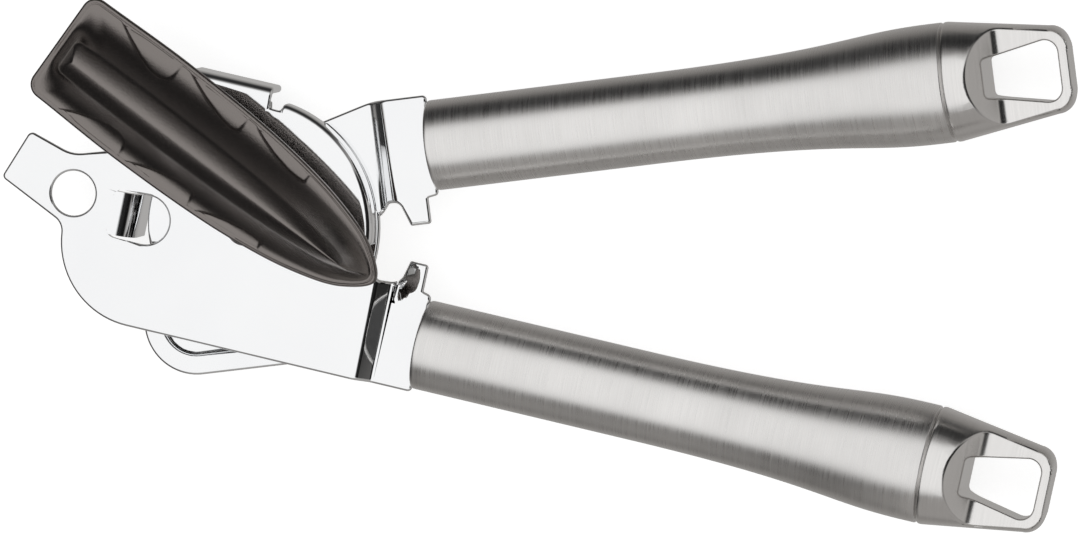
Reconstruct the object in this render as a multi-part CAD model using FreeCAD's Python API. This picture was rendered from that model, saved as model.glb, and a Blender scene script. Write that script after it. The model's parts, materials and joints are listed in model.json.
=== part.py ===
"""Manual can opener: two levers on one pivot, a crank on a drive shaft and a geared cutter.

Millimetres, +Z up, towards the crank. The model is drawn about the lever pivot, with the axes of
the handles at z = 0 and the front handle along +X, and is then moved so that the origin is the
bottom centre of its bounding box.
"""
import FreeCAD
import Part
import math
import os

from FreeCAD import Vector

# ---- driving dimensions: levers -------------------------------------------------------------
REST_SPREAD = 19.7          # angle between the two levers at rest, degrees
SHEET = 1.5                 # steel sheet of both lever plates
PLATE_GAP = 3.5             # free height between the two plates
HEAD_RADIUS = 25.9          # front plate's disc, about the pivot
BACK_EDGE_RADIUS = 26.5     # back plate's edge on its handle side, about the pivot
BACK_LEFT_RADIUS = 21.2     # back plate's edge on its nose side, about the pivot
SKIRT_DROP = 4.6            # how far the disc's rolled edge comes down
SKIRT_BEND = 1.7            # outer radius of the rolled edge
JOGGLE_START = 27.8         # where both plates step to the handle's middle plane
JOGGLE_RUN = 3.1
JOGGLE_ROUND = 1.2          # inner bend radius of the step
TANG_LENGTH = 22.0          # plate's tongue inside the handle

# ---- driving dimensions: front plate --------------------------------------------------------
FRONT_AXIS_Y = -15.2        # front handle's axis, from the pivot
PLATE_BOTTOM = -25.05       # straight lower edge
LOBE_CENTRE = (-19.7, -8.05)
OPENER_CORNERS = [(-50.95, -1.5), (-47.05, 8.9), (-37.6, 6.2)]
BOTTLE_HOLE_CENTRE = (-35.75, -1.4)
BOTTLE_HOLE_RADIUS = 4.5
WINDOW_LEFT = -27.6         # window that the rim guide is cut from
WINDOW_END = (-20.2, -3.35)
WINDOW_RADIUS = 4.9
GUIDE_BEND = 5.4            # outer radius of the rim guide's bend
GUIDE_DEPTH = 11.6          # rim guide, below the plate's top face
GUIDE_SIDE_GAP = 0.5
LIP_OUTER_Y = 28.4
LIP_LEFT = -17.5
LIP_RIGHT = -0.2
LIP_DEPTH = 9.0
LIP_BEND = 2.3
STOP_TOP = 0.55             # stop tab's upper edge
DISH_CENTRE = (30.6, -2.9)  # hollow that turns the stop tab's edge down
DISH_RADIUS = 5.9
DISH_SLOPE = 23.0
DISH_LEFT = 32.0
NECK_TOP = -4.4

# ---- driving dimensions: back plate (drawn in its own lever's axes) --------------------------
BACK_AXIS_Y = 11.4
BACK_NECK_TOP = 21.55
BACK_LOBE_CENTRE = (-13.8, -18.0)
BACK_LOBE_RADIUS = 10.65
PAN_MARGIN = 3.35           # flat rim left round the sunk pan
PAN_DEPTH = 0.8
BACK_STOP_BOTTOM = -4.0

# ---- driving dimensions: handles ------------------------------------------------------------
TUBE_RADIUS = 9.0
TUBE_WALL = 0.8
TUBE_START = 39.6
TUBE_LENGTH = 104.9
FLARE_START = 45.0          # from the tube's mouth
CAP_RADIUS = 11.85
CAP_LENGTH = 24.3
CAP_END_HALF = 8.75         # half width where the loop's end is rounded
CAP_CORNER = 3.6
LOOP_HALF_THICKNESS = 4.0
SCOOP_START = 4.0            # from the cap's start to the top of its scooped slope
SCOOP_SLOPE = 52.0
SCOOP_RADIUS = 3.0
LOOP_HOLE_START = 7.5
LOOP_HOLE_END = 22.2
LOOP_HOLE_NARROW = 3.7      # half widths of the hanging hole
LOOP_HOLE_WIDE = 6.6
CAP_SPIGOT = 10.0
NOSE_LENGTH = 24.0

# ---- driving dimensions: crank and mechanism -------------------------------------------------
SHAFT_AT = (-6.5, 12.3)     # drive shaft, from the pivot
CUTTER_AT = (-2.0, -11.5)   # cutter arbor at rest, from the pivot
CRANK_ANGLE = -24.0         # the crank's direction at rest, in the front lever's axes
CRANK_BACK = 40.3           # from the shaft to the crank's flat end
CRANK_TIP = 39.7
CRANK_HALF_WIDTH = 12.25
CRANK_CORNER = 3.0
CRANK_RIM = 1.4
CRANK_LEDGE = 1.0
CRANK_HEIGHT = 10.6
CREST_HALF_WIDTH = 3.9
CREST_SETBACK = 4.3
KNOB_CLEARANCE = 0.7        # crank above the handle tubes
SHAFT_RADIUS = 3.0
ARBOR_RADIUS = 3.0
PIVOT_RADIUS = 3.0
GEAR_TEETH = 12
GEAR_CLOSED_DISTANCE = 23.15
GEAR_ADDENDUM = 1.63
GEAR_DEDENDUM = 2.2
GEAR_THICKNESS = 2.0
PRESSURE_ANGLE = 25.0
TOOTH_SLACK = 0.35          # taken off each tooth's thickness
CUTTER_RADIUS = 13.8
WHEEL_RELIEF = 0.2          # the cutting wheel clears the gear that swings over it
WHEEL_HUB = 1.6
CUTTER_THICKNESS = 1.1
FEED_RADIUS = 9.6
FEED_TEETH = 30
FEED_THICKNESS = 2.3
RUN_FIT = 0.05              # radial clearance of a shaft in its hole
END_PLAY = 0.1
LEVER_OPEN = 20.0
LEVER_CLOSE = 12.0
SLOT_CLEARANCE = 0.5
BUSH_RADIUS = 5.0           # shaft bushing where it fills the front plate's hole
SPACER_RADIUS = 4.2
PIVOT_SPACER_RADIUS = 5.2
SPACER_SEAT_RADIUS = PIVOT_SPACER_RADIUS + 1.6
CUTTER_BUSH_RADIUS = 4.6
RIVET_HEAD_RADIUS = 3.5
RIVET_TAIL_RADIUS = 4.6
INSERT_RADIUS = 4.6
PIN_RADIUS = 1.0
BUSH_COLLAR_RADIUS = 7.0
WASHER_RADIUS = 8.2
WASHER_THICKNESS = 0.8
SPRING_WASHER_THICKNESS = 0.6
FEED_TOOTH_DEPTH = 0.9
FEED_HUB_RADIUS = 6.0
NUT_FLATS = 9.0
ARBOR_HEAD_RADIUS = 4.8
BUSH_FLANGE_RADIUS = 5.9
CUTTER_NUT_HEIGHT = 1.6

# ---- heights that follow from the sheet and the gap -----------------------------------------
FRONT_UNDER = PLATE_GAP / 2
FRONT_TOP = FRONT_UNDER + SHEET
BACK_TOP = -PLATE_GAP / 2
BACK_UNDER = BACK_TOP - SHEET
PAN_TOP = BACK_TOP - PAN_DEPTH
PAN_UNDER = BACK_UNDER - PAN_DEPTH
GEAR_TOP = PAN_UNDER - 2 * END_PLAY
GEAR_UNDER = GEAR_TOP - GEAR_THICKNESS
CUTTER_UNDER = GEAR_UNDER - CUTTER_THICKNESS
FEED_TOP = CUTTER_UNDER - END_PLAY
FEED_UNDER = FEED_TOP - FEED_THICKNESS
TABLE = -CAP_RADIUS
KNOB_UNDER = TUBE_RADIUS + KNOB_CLEARANCE
TUBE_END = TUBE_START + TUBE_LENGTH
INSERT_TOP = KNOB_UNDER + 6.0
SHAFT_TOP = KNOB_UNDER + 5.5
PIN_HEIGHT = KNOB_UNDER + 3.2
BUSH_FLANGE_TOP = PAN_TOP + 1.3
ARBOR_HEAD_TOP = BUSH_FLANGE_TOP + 1.4


def at(point, z=0.0):
    return Vector(point[0], point[1], z)


def rounded(corners):
    """A closed wire in the XY plane through corners (x, y, radius), each rounded by an arc."""
    count = len(corners)
    ends = []
    edges = []
    for i in range(count):
        x, y, radius = corners[i]
        here = Vector(x, y, 0)
        before = (at(corners[i - 1]) - here).normalize()
        after = (at(corners[(i + 1) % count]) - here).normalize()
        if radius == 0:
            ends.append((here, here, None))
            continue
        half = before.getAngle(after) / 2
        reach = radius / math.tan(half)
        middle = here + (before + after).normalize() * (radius / math.sin(half) - radius)
        ends.append((here + before * reach, here + after * reach, middle))
    for i in range(count):
        start, finish, middle = ends[i]
        if middle is not None:
            edges.append(Part.Arc(start, middle, finish).toShape())
        following = ends[(i + 1) % count][0]
        if finish.distanceToPoint(following) > 1e-6:
            edges.append(Part.makeLine(finish, following))
    return Part.Wire(edges)


def prism(wire, low, high):
    solid = Part.Face(wire).extrude(Vector(0, 0, high - low))
    solid.translate(Vector(0, 0, low))
    return solid


def disc(centre, radius, low, high):
    return Part.makeCylinder(radius, high - low, at(centre, low))


def ring(centre, outer, inner, low, high):
    return disc(centre, outer, low, high).cut(disc(centre, inner, low - 1, high + 1))


def turned(centre, profile):
    """A solid turned about the vertical line through centre, from (radius, z) corners."""
    points = [Vector(r, 0, z) for r, z in profile]
    face = Part.Face(Part.makePolygon(points + points[:1]))
    solid = face.revolve(Vector(0, 0, 0), Vector(0, 0, 1), 360)
    solid.translate(at(centre))
    return solid


def hexagon(centre, across_flats, low, high):
    corner = across_flats / math.sqrt(3)
    turns = [math.radians(30 + 60 * k) for k in range(6)]
    points = [at(centre, low) + Vector(corner * math.cos(a), corner * math.sin(a), 0) for a in turns]
    return Part.Face(Part.makePolygon(points + points[:1])).extrude(Vector(0, 0, high - low))


def upright_edges(solid, places, reach):
    """The vertical edges of a solid that pass near one of the places in plan."""
    found = []
    for edge in solid.Edges:
        first, last = edge.Vertexes[0].Point, edge.Vertexes[-1].Point
        level = Vector(first.x - last.x, first.y - last.y, 0).Length
        if level < 1e-6 and abs(first.z - last.z) > SHEET / 2:
            if any(at(p).distanceToPoint(Vector(first.x, first.y, 0)) < reach for p in places):
                found.append(edge)
    return found


def stepped_sheet(top_before, top_after, low_y, high_y):
    """A sheet along X whose top face steps from one height to another over the joggle."""
    half = SHEET / 2
    start, end = JOGGLE_START, JOGGLE_START + JOGGLE_RUN
    before, after = top_before - half, top_after - half
    middle = [(-90.0, before), (start, before), (end, after), (TUBE_START + TANG_LENGTH, after)]

    def side(offset):
        slope = math.atan2(after - before, end - start)
        shift = offset * math.tan(slope / 2)
        return [(middle[0][0], before + offset), (start - shift, before + offset),
                (end - shift, after + offset), (middle[3][0], after + offset)]

    upper, lower = side(half), side(-half)
    first_bend = 1 if after < before else -1
    outer, inner = JOGGLE_ROUND + SHEET, JOGGLE_ROUND
    first_up = outer if first_bend > 0 else inner
    second_up = inner if first_bend > 0 else outer
    loop = [(*upper[0], 0), (*upper[1], first_up), (*upper[2], second_up), (*upper[3], 0),
            (*lower[3], 0), (*lower[2], outer + inner - second_up),
            (*lower[1], outer + inner - first_up), (*lower[0], 0)]
    section = rounded(loop)
    section.rotate(Vector(0, 0, 0), Vector(1, 0, 0), 90)
    section.translate(Vector(0, high_y, 0))
    return Part.Face(section).extrude(Vector(0, low_y - high_y, 0))


def lip():
    """The straight flange that bears on the can's wall, bent down from the plate's upper edge."""
    inner = LIP_BEND - SHEET
    arc_centre = LIP_OUTER_Y - LIP_BEND
    low = FRONT_TOP - LIP_DEPTH
    diagonal = math.sqrt(0.5)
    top = Vector(0, arc_centre, FRONT_TOP)
    outside = Vector(0, LIP_OUTER_Y, FRONT_TOP - LIP_BEND)
    inside = Vector(0, LIP_OUTER_Y - SHEET, FRONT_TOP - LIP_BEND)
    under = Vector(0, arc_centre, FRONT_UNDER)
    corner = Vector(0, arc_centre, FRONT_TOP - LIP_BEND)
    outer_middle = corner + Vector(0, LIP_BEND * diagonal, LIP_BEND * diagonal)
    inner_middle = corner + Vector(0, inner * diagonal, inner * diagonal)
    root = arc_centre - SHEET
    edges = [Part.Arc(top, outer_middle, outside).toShape(),
             Part.makeLine(outside, Vector(0, LIP_OUTER_Y, low)),
             Part.makeLine(Vector(0, LIP_OUTER_Y, low), Vector(0, LIP_OUTER_Y - SHEET, low)),
             Part.makeLine(Vector(0, LIP_OUTER_Y - SHEET, low), inside),
             Part.Arc(inside, inner_middle, under).toShape(),
             Part.makeLine(under, Vector(0, root, FRONT_UNDER)),
             Part.makeLine(Vector(0, root, FRONT_UNDER), Vector(0, root, FRONT_TOP)),
             Part.makeLine(Vector(0, root, FRONT_TOP), top)]
    solid = Part.Face(Part.Wire(edges)).extrude(Vector(LIP_RIGHT - LIP_LEFT, 0, 0))
    solid.translate(Vector(LIP_LEFT, 0, 0))
    return solid


def rim_guide():
    """The tongue cut from the window and rolled down, which runs on top of the can's rim."""
    inner = GUIDE_BEND - SHEET
    low = FRONT_TOP - GUIDE_DEPTH
    centre = Vector(WINDOW_LEFT, 0, FRONT_TOP - GUIDE_BEND)
    diagonal = math.sqrt(0.5)
    outer_middle = centre + Vector(GUIDE_BEND * diagonal, 0, GUIDE_BEND * diagonal)
    inner_middle = centre + Vector(inner * diagonal, 0, inner * diagonal)
    top = Vector(WINDOW_LEFT, 0, FRONT_TOP)
    under = Vector(WINDOW_LEFT, 0, FRONT_UNDER)
    root = WINDOW_LEFT - SHEET
    face_x = WINDOW_LEFT + GUIDE_BEND
    outside = Vector(face_x, 0, centre.z)
    inside = Vector(face_x - SHEET, 0, centre.z)
    edges = [Part.Arc(top, outer_middle, outside).toShape(),
             Part.makeLine(outside, Vector(face_x, 0, low)),
             Part.makeLine(Vector(face_x, 0, low), Vector(face_x - SHEET, 0, low)),
             Part.makeLine(Vector(face_x - SHEET, 0, low), inside),
             Part.Arc(inside, inner_middle, under).toShape(),
             Part.makeLine(under, Vector(root, 0, FRONT_UNDER)),
             Part.makeLine(Vector(root, 0, FRONT_UNDER), Vector(root, 0, FRONT_TOP)),
             Part.makeLine(Vector(root, 0, FRONT_TOP), top)]
    width = 2 * (WINDOW_RADIUS - GUIDE_SIDE_GAP)
    solid = Part.Face(Part.Wire(edges)).extrude(Vector(0, width, 0))
    solid.translate(Vector(0, WINDOW_END[1] - width / 2, 0))
    return solid


def skirt(first, last):
    """The rolled edge of the disc, turned about the pivot between two angles."""
    flat = HEAD_RADIUS - SKIRT_BEND
    centre_z = FRONT_TOP - SKIRT_BEND
    low = FRONT_TOP - SKIRT_DROP
    inner = SKIRT_BEND - SHEET
    diagonal = math.sqrt(0.5)
    outer_middle = Vector(flat + SKIRT_BEND * diagonal, 0, centre_z + SKIRT_BEND * diagonal)
    inner_middle = Vector(flat + inner * diagonal, 0, centre_z + inner * diagonal)
    inside = HEAD_RADIUS - SHEET
    root = flat - SHEET
    edges = [Part.Arc(Vector(flat, 0, FRONT_TOP), outer_middle,
                      Vector(HEAD_RADIUS, 0, centre_z)).toShape(),
             Part.makeLine(Vector(HEAD_RADIUS, 0, centre_z), Vector(HEAD_RADIUS, 0, low)),
             Part.makeLine(Vector(HEAD_RADIUS, 0, low), Vector(inside, 0, low)),
             Part.makeLine(Vector(inside, 0, low), Vector(inside, 0, centre_z)),
             Part.Arc(Vector(inside, 0, centre_z), inner_middle,
                      Vector(flat, 0, FRONT_UNDER)).toShape(),
             Part.makeLine(Vector(flat, 0, FRONT_UNDER), Vector(root, 0, FRONT_UNDER)),
             Part.makeLine(Vector(root, 0, FRONT_UNDER), Vector(root, 0, FRONT_TOP)),
             Part.makeLine(Vector(root, 0, FRONT_TOP), Vector(flat, 0, FRONT_TOP))]
    solid = Part.Face(Part.Wire(edges)).revolve(Vector(0, 0, 0), Vector(0, 0, 1), last - first)
    solid.rotate(Vector(0, 0, 0), Vector(0, 0, 1), first)
    return solid


def dish(top, drop):
    """The conical hollow of the stop tab, from its own surface down or up by a height."""
    deep = top - DISH_RADIUS * math.tan(math.radians(DISH_SLOPE))
    profile = [(0, deep), (DISH_RADIUS, top), (DISH_RADIUS, top + drop), (0, deep + drop)]
    if drop > 0:
        profile[3] = (0, top + drop)
    reach = Part.makeBox(20, 40, 40, Vector(DISH_LEFT, -20, -20))
    return turned(DISH_CENTRE, profile).common(reach)


def front_plate():
    lobe = LOBE_CENTRE[1] - PLATE_BOTTOM
    flat = HEAD_RADIUS - SKIRT_BEND
    tip_low, tip_high, waist = OPENER_CORNERS
    lip_root = LIP_OUTER_Y - LIP_BEND
    low, high = -40.0, 40.0
    arm = prism(rounded([(*tip_low, 1.0), (LOBE_CENTRE[0] - lobe + 1.5, -8.55, 0),
                         (-25.0, -10.0, 0), (-25.0, 14.0, 0), (-29.0, 9.0, 0),
                         (*waist, 7.0), (*tip_high, 1.2)]), low, high)
    arm = arm.fuse(disc(LOBE_CENTRE, lobe, low, high))
    arm = arm.removeSplitter()
    body = prism(rounded([(LOBE_CENTRE[0], PLATE_BOTTOM, 0), (TUBE_START - 0.1, PLATE_BOTTOM, 0.9),
                          (TUBE_START - 0.1, NECK_TOP - 0.9, 1.1), (37.7, NECK_TOP - 0.45, 0.3),
                          (37.7, STOP_TOP, 0.7), (33.8, STOP_TOP, 0.5),
                          (32.3, NECK_TOP, 2.2), (28.6, NECK_TOP, 1.0), (24.0, 0.5, 0),
                          (17.0, 12.0, 0), (LOBE_CENTRE[0], 3.0, 0)]), low, high)
    crown = prism(rounded([(LIP_LEFT, lip_root, 0.6), (LIP_LEFT - 7.5, 17.0, 9.0),
                           (-31.0, 5.5, 0), (-12.0, -4.0, 0), (0.5, 5.0, 0),
                           (LIP_RIGHT, lip_root, 0)]), low, high)
    tongue_half = TUBE_RADIUS - TUBE_WALL - 1.2
    tongue = Part.makeBox(TANG_LENGTH + 2, 2 * tongue_half, high - low,
                          Vector(TUBE_START - 2, FRONT_AXIS_Y - tongue_half, low))
    plan = arm.fuse([body, crown, disc((0, 0), flat, low, high), tongue]).removeSplitter()
    sheet = stepped_sheet(FRONT_TOP, SHEET / 2, low, high)
    plate = sheet.common(plan)
    neck_top = SHEET / 2
    plate = plate.cut(dish(neck_top, 5.0)).fuse(dish(neck_top, -SHEET).common(plan))
    plate = plate.fuse([skirt(4.0, 84.5), lip()]).removeSplitter()
    window = rounded([(WINDOW_LEFT, WINDOW_END[1] - WINDOW_RADIUS, 1.8),
                      (WINDOW_END[0] + WINDOW_RADIUS, WINDOW_END[1] - WINDOW_RADIUS,
                       WINDOW_RADIUS - 0.01),
                      (WINDOW_END[0] + WINDOW_RADIUS, WINDOW_END[1] + WINDOW_RADIUS,
                       WINDOW_RADIUS - 0.01),
                      (WINDOW_LEFT, WINDOW_END[1] + WINDOW_RADIUS, 1.8)])
    plate = plate.cut(prism(window, FRONT_UNDER - 1, FRONT_TOP + 1))
    plate = plate.fuse(rim_guide()).removeSplitter()
    plate = plate.cut(disc(BOTTLE_HOLE_CENTRE, BOTTLE_HOLE_RADIUS, 0, 9))
    plate = plate.cut(disc(SHAFT_AT, BUSH_RADIUS, 0, 9))
    plate = plate.cut(disc((0, 0), PIVOT_RADIUS, 0, 9).fuse(pivot_flare()))
    waist = upright_edges(plate, [(-37.0, -8.6)], 1.6)
    return plate.makeFillet(3.2, waist) if waist else plate


def turn_back(shape):
    """Moves a shape drawn in the back lever's own axes to its place at rest."""
    shape.rotate(Vector(0, 0, 0), Vector(0, 0, 1), REST_SPREAD)
    return shape


def in_back_axes(point):
    a = math.radians(-REST_SPREAD)
    x, y = point
    return (x * math.cos(a) - y * math.sin(a), x * math.sin(a) + y * math.cos(a))


def pan(inset, low, high):
    """The sunk area round the cutter's bushing, in the back lever's axes."""
    small = BACK_LOBE_RADIUS - PAN_MARGIN - inset
    bottom = BACK_LOBE_CENTRE[1] - small
    cutter = in_back_axes(CUTTER_AT)
    large = cutter[1] - bottom
    solid = disc(BACK_LOBE_CENTRE, small, low, high).fuse(disc(cutter, large, low, high))
    dx, dy = cutter[0] - BACK_LOBE_CENTRE[0], cutter[1] - BACK_LOBE_CENTRE[1]
    span = math.hypot(dx, dy)
    lean = math.acos((small - large) / span)
    toward = math.atan2(dy, dx)
    corners = []
    for side in (-1, 1):
        a = toward + side * lean
        corners.append((BACK_LOBE_CENTRE, small, a))
        corners.append((cutter, large, a))
    order = [corners[0], corners[1], corners[3], corners[2]]
    points = [Vector(c[0] + r * math.cos(a), c[1] + r * math.sin(a), low) for c, r, a in order]
    web = Part.Face(Part.makePolygon(points + points[:1])).extrude(Vector(0, 0, high - low))
    seat = disc((0, 0), SPACER_SEAT_RADIUS - inset, low, high)
    return solid.fuse([web, seat]).removeSplitter()


def shaft_slot():
    """The arc that the drive shaft sweeps in the back plate as the levers open and close."""
    x, y = in_back_axes(SHAFT_AT)
    path_radius = math.hypot(x, y)
    middle = math.degrees(math.atan2(y, x))
    first, last = middle - LEVER_OPEN - 1.0, middle + LEVER_CLOSE + 1.0
    half = SPACER_RADIUS + SLOT_CLEARANCE
    band = Part.makeCylinder(path_radius + half, 12, Vector(0, 0, -8), Vector(0, 0, 1), last - first)
    band = band.cut(Part.makeCylinder(path_radius - half, 14, Vector(0, 0, -9)))
    band.rotate(Vector(0, 0, 0), Vector(0, 0, 1), first)
    ends = []
    for angle in (first, last):
        a = math.radians(angle)
        ends.append(disc((path_radius * math.cos(a), path_radius * math.sin(a)), half, -8, 4))
    return band.fuse(ends)


def back_plate():
    low, high = -40.0, 40.0
    neck = prism(rounded([(24.0, 0.0, 0), (27.0, -1.2, 0.8), (28.9, 0.9, 1.0), (31.3, 0.9, 1.6),
                          (33.1, BACK_STOP_BOTTOM, 0.5), (37.3, BACK_STOP_BOTTOM, 0.6),
                          (37.3, 1.15, 0.3), (TUBE_START - 0.1, 1.5, 0.9),
                          (TUBE_START - 0.1, BACK_NECK_TOP, 0.9), (28.0, BACK_NECK_TOP, 18.0),
                          (12.0, 17.3, 0), (0.0, 10.0, 0), (0.0, 0.0, 0)]), low, high)
    sector = [(0.0, 0.0, 0)]
    for angle in (-40.0, -20.0, 5.0, 25.0, 44.0):
        a = math.radians(angle)
        sector.append((40 * math.cos(a), 40 * math.sin(a), 0))
    handle_side = disc((0, 0), BACK_EDGE_RADIUS, low, high).common(prism(rounded(sector), low, high))
    cutter = in_back_axes(CUTTER_AT)
    floor = BACK_LOBE_CENTRE[1] - BACK_LOBE_RADIUS
    apron = prism(rounded([(BACK_LOBE_CENTRE[0], floor, 0), (cutter[0] + 17.0, floor, 9.0),
                           (24.0, -14.0, 0), (20.0, 0.0, 0), (-10.0, 0.0, 0),
                           (BACK_LOBE_CENTRE[0], BACK_LOBE_CENTRE[1], 0)]), low, high)
    shoulder = prism(rounded([(BACK_LOBE_CENTRE[0] - BACK_LOBE_RADIUS, BACK_LOBE_CENTRE[1], 0),
                              (0.0, -20.0, 0), (0.0, 0.0, 0), (-19.0, -8.0, 5.0)]), low, high)
    tongue_half = TUBE_RADIUS - TUBE_WALL - 1.2
    tongue = Part.makeBox(TANG_LENGTH + 2, 2 * tongue_half, high - low,
                          Vector(TUBE_START - 2, BACK_AXIS_Y - tongue_half, low))
    plan = disc((0, 0), BACK_LEFT_RADIUS, low, high)
    plan = plan.fuse([handle_side, neck, apron, shoulder, tongue,
                      disc(BACK_LOBE_CENTRE, BACK_LOBE_RADIUS, low, high)]).removeSplitter()
    plate = stepped_sheet(BACK_TOP, SHEET / 2, low, high).common(plan)
    draft = PAN_DEPTH
    plate = plate.cut(pan(draft, PAN_TOP, 0))
    plate = plate.fuse(pan(draft - SHEET / 2, PAN_UNDER, BACK_UNDER)).removeSplitter()
    plate = plate.cut(pan(draft, PAN_TOP, 0))
    plate = plate.cut(shaft_slot())
    plate = plate.cut(disc(cutter, CUTTER_BUSH_RADIUS, -9, 0))
    plate = plate.cut(pivot_tail(RUN_FIT))
    return turn_back(plate)


def pivot_tail(clearance):
    """The rivet's lower end, or with a clearance the hole that it turns in."""
    radius = PIVOT_RADIUS + clearance
    tail = RIVET_TAIL_RADIUS + clearance
    countersink = tail - radius
    below = PAN_UNDER if clearance == 0 else PAN_UNDER - 1
    return turned((0, 0), [(0, 0), (radius, 0), (radius, PAN_UNDER + countersink + clearance),
                           (tail, PAN_UNDER + clearance), (tail, below), (0, below)])


def pivot_flare():
    """The rivet's upper end, spread into the front plate and polished flush with it."""
    spread = RIVET_HEAD_RADIUS - PIVOT_RADIUS
    return turned((0, 0), [(0, FRONT_TOP), (RIVET_HEAD_RADIUS, FRONT_TOP),
                           (PIVOT_RADIUS, FRONT_TOP - spread), (0, FRONT_TOP - spread)])


def pivot_rivet():
    stem = disc((0, 0), PIVOT_RADIUS, 0, FRONT_TOP).fuse(pivot_flare())
    return stem.fuse(pivot_tail(0)).removeSplitter()


def tube_profile(inset):
    """The handle's outline from its mouth to the cap, at a depth under the outer skin."""
    flare_end = TUBE_LENGTH - 3.3
    knee = (FLARE_START + flare_end) / 2
    poles = [Vector(FLARE_START, TUBE_RADIUS - inset, 0), Vector(knee + 10.5, TUBE_RADIUS - inset, 0),
             Vector(knee + 12.5, CAP_RADIUS - inset, 0), Vector(flare_end, CAP_RADIUS - inset, 0)]
    curve = Part.BezierCurve()
    curve.setPoles(poles)
    return curve.toShape(), poles


def handle_tube(axis_y):
    outer, outer_poles = tube_profile(0)
    inner, inner_poles = tube_profile(TUBE_WALL)
    lip_round = TUBE_WALL * 0.9
    mouth = Vector(0, TUBE_RADIUS - lip_round, 0)
    shoulder = Vector(lip_round, TUBE_RADIUS, 0)
    bulge = Vector(lip_round * (1 - math.sqrt(0.5)), TUBE_RADIUS - lip_round * (1 - math.sqrt(0.5)), 0)
    inside = Vector(0, TUBE_RADIUS - TUBE_WALL, 0)
    end_out = Vector(TUBE_LENGTH, CAP_RADIUS, 0)
    end_in = Vector(TUBE_LENGTH, CAP_RADIUS - TUBE_WALL, 0)
    edges = [Part.Arc(mouth, bulge, shoulder).toShape(), Part.makeLine(shoulder, outer_poles[0]), outer,
             Part.makeLine(outer_poles[-1], end_out), Part.makeLine(end_out, end_in),
             Part.makeLine(end_in, inner_poles[-1]), inner, Part.makeLine(inner_poles[0], inside),
             Part.makeLine(inside, mouth)]
    section = Part.Face(Part.Wire(Part.__sortEdges__(edges)))
    solid = section.revolve(Vector(0, 0, 0), Vector(1, 0, 0), 360)
    solid.translate(Vector(TUBE_START, axis_y, 0))
    return solid


def handle_nose(axis_y):
    """The plug that fills the tube's mouth and grips the plate's tongue in its slot."""
    radius = TUBE_RADIUS - TUBE_WALL
    solid = Part.makeCylinder(radius, NOSE_LENGTH, Vector(TUBE_START, axis_y, 0), Vector(1, 0, 0))
    tongue_half = radius - 1.2
    slot = Part.makeBox(TANG_LENGTH + 1, 2 * tongue_half, SHEET,
                        Vector(TUBE_START - 1, axis_y - tongue_half, -SHEET / 2))
    return solid.cut(slot)


def end_cap(axis_y):
    """The turned cap, scooped on both faces to a flat loop with a hanging hole."""
    taper_end = CAP_LENGTH - CAP_CORNER
    reach = CAP_END_HALF - CAP_CORNER
    corner = Vector(taper_end + CAP_CORNER * math.sqrt(0.5), reach + CAP_CORNER * math.sqrt(0.5), 0)
    edges = [Part.makeLine(Vector(0, 0, 0), Vector(0, CAP_RADIUS, 0)),
             Part.makeLine(Vector(0, CAP_RADIUS, 0), Vector(0.9, CAP_RADIUS, 0)),
             Part.makeLine(Vector(0.9, CAP_RADIUS, 0), Vector(taper_end, CAP_END_HALF, 0)),
             Part.Arc(Vector(taper_end, CAP_END_HALF, 0), corner, Vector(CAP_LENGTH, reach, 0)).toShape(),
             Part.makeLine(Vector(CAP_LENGTH, reach, 0), Vector(CAP_LENGTH, 0, 0)),
             Part.makeLine(Vector(CAP_LENGTH, 0, 0), Vector(0, 0, 0))]
    solid = Part.Face(Part.Wire(edges)).revolve(Vector(0, 0, 0), Vector(1, 0, 0), 360)
    floor = LOOP_HALF_THICKNESS
    lean = math.radians(SCOOP_SLOPE)
    run = (CAP_RADIUS - floor) / math.tan(lean)
    above = CAP_RADIUS / math.tan(lean)
    foot = SCOOP_START + run
    section = rounded([(SCOOP_START - above, CAP_RADIUS * 2, 0), (foot, floor, SCOOP_RADIUS),
                       (CAP_LENGTH + 9, floor, 0), (CAP_LENGTH + 9, CAP_RADIUS * 2, 0)])
    section.rotate(Vector(0, 0, 0), Vector(1, 0, 0), 90)
    scoop = Part.Face(section).extrude(Vector(0, 40, 0))
    scoop.translate(Vector(0, -20, 0))
    below = scoop.mirror(Vector(0, 0, 0), Vector(0, 0, 1))
    hole = prism(rounded([(LOOP_HOLE_START, -LOOP_HOLE_NARROW, 1.0), (LOOP_HOLE_END, -LOOP_HOLE_WIDE, 2.6),
                          (LOOP_HOLE_END, LOOP_HOLE_WIDE, 2.6), (LOOP_HOLE_START, LOOP_HOLE_NARROW, 1.0)]),
                 -20, 20)
    solid = solid.cut(scoop).cut(below).cut(hole)
    spigot = Part.makeCylinder(CAP_RADIUS - TUBE_WALL, 3.0, Vector(-3.0, 0, 0), Vector(1, 0, 0))
    stem = Part.makeCylinder(TUBE_RADIUS - TUBE_WALL, CAP_SPIGOT, Vector(-CAP_SPIGOT, 0, 0), Vector(1, 0, 0))
    solid = solid.fuse([spigot, stem]).removeSplitter()
    solid.translate(Vector(TUBE_END, axis_y, 0))
    return solid


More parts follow.
